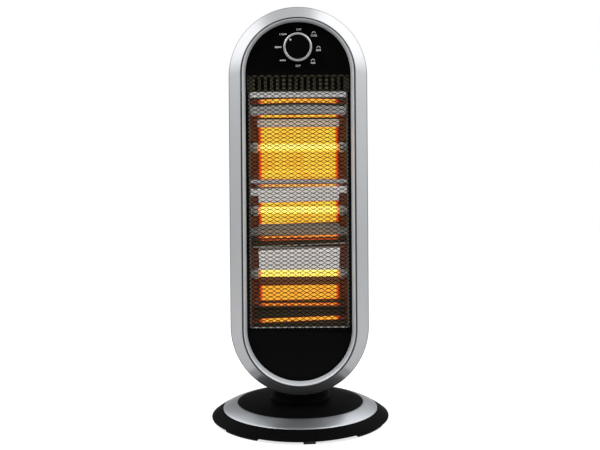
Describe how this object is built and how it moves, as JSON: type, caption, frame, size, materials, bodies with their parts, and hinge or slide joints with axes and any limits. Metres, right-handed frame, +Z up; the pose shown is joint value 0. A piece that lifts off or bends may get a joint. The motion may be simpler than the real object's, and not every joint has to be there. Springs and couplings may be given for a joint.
{
  "type": "halogen heater",
  "caption": "Oscillating halogen tower heater: quartz lamps in a mirror reflector behind a mesh guard, in a rounded tower with a top dial, on a swivelling round base.",
  "frame": {"origin": "on the floor, on the axis about which the tower swings", "axes": "+Z up along the tower, front towards -Y, +X to the viewer's right"},
  "size_m": [0.26, 0.26, 0.597],
  "materials": {
    "silver_plastic": "silver paint, satin",
    "bright_plating": "bright silver plating",
    "gloss_black": "high gloss",
    "matt_black": "fine moulded grain",
    "guard_metal": "dark enamel",
    "mirror_sheet": "polished sheet",
    "steel": "zinc plated",
    "quartz": "clear, lit from inside",
    "tungsten": "glowing coil",
    "ceramic": "unglazed steatite",
    "rubber": "matt",
    "acetal": "natural",
    "insulation": "silicone",
    "print_white": "printed"
  },
  "bodies": {
    "base": {"base_cover": "gloss_black", "base_trim_ring": "silver_plastic", "base_plate": "matt_black", "foot_pad_1": "rubber", "foot_pad_2": "rubber", "foot_pad_3": "rubber", "foot_pad_4": "rubber", "base_screw_1": "steel", "base_screw_2": "steel", "base_screw_3": "steel", "base_screw_4": "steel", "cord_gland": "matt_black", "tip_switch": "acetal", "swing_motor": "steel", "swivel_washer": "acetal", "base_lead": "matt_black"},
    "plunger": {"tip_switch_plunger": "matt_black"},
    "crank": {"swing_crank": "steel"},
    "tower": {"neck": "matt_black", "neck_screw_left": "steel", "neck_screw_right": "steel", "swing_arm": "steel", "swivel_retainer": "steel", "rear_shell": "matt_black", "front_frame": "silver_plastic", "trim_ring": "bright_plating", "front_panel": "gloss_black", "case_screw_1": "steel", "case_screw_2": "steel", "case_screw_3": "steel", "case_screw_4": "steel", "guard_mesh": "guard_metal", "vent_plate": "guard_metal", "reflector": "mirror_sheet", "reflector_side_left": "mirror_sheet", "reflector_side_right": "mirror_sheet", "quartz_tube_1": "quartz", "quartz_tube_2": "quartz", "quartz_tube_3": "quartz", "filament_1": "tungsten", "filament_2": "tungsten", "filament_3": "tungsten", "end_cap_left_1": "ceramic", "end_cap_left_2": "ceramic", "end_cap_left_3": "ceramic", "end_cap_right_1": "ceramic", "end_cap_right_2": "ceramic", "end_cap_right_3": "ceramic", "rotary_switch": "acetal", "thermal_cutout": "acetal", "lamp_wire_left": "insulation", "lamp_wire_right": "insulation", "supply_lead": "matt_black"},
    "dial": {"knob": "gloss_black", "knob_ring": "bright_plating", "knob_pointer": "print_white"}
  },
  "joints": [
    {"name": "swing", "type": "hinge", "parent": "base", "child": "tower", "pos_m": [0, 0, 0.0284], "axis": [0, 0, 1], "range_deg": [-35, 35]},
    {"name": "crank_turn", "type": "hinge", "parent": "base", "child": "crank", "pos_m": [0.048, 0, 0.0173], "axis": [0, 0, 1], "range_deg": [-126, 126]},
    {"name": "dial_turn", "type": "hinge", "parent": "tower", "child": "dial", "pos_m": [0, -0.0593, 0.5334], "axis": [0, -1, 0], "continuous": true},
    {"name": "tip_plunger", "type": "slide", "parent": "base", "child": "plunger", "axis": [0, 0, -1], "range_m": [0, 0.004], "stiffness_N_per_m": 60, "springref_m": 0.008}
  ],
  "couplings": [
    {"joint": "crank_turn", "follows": "swing", "ratio": 3.5743}
  ]
}
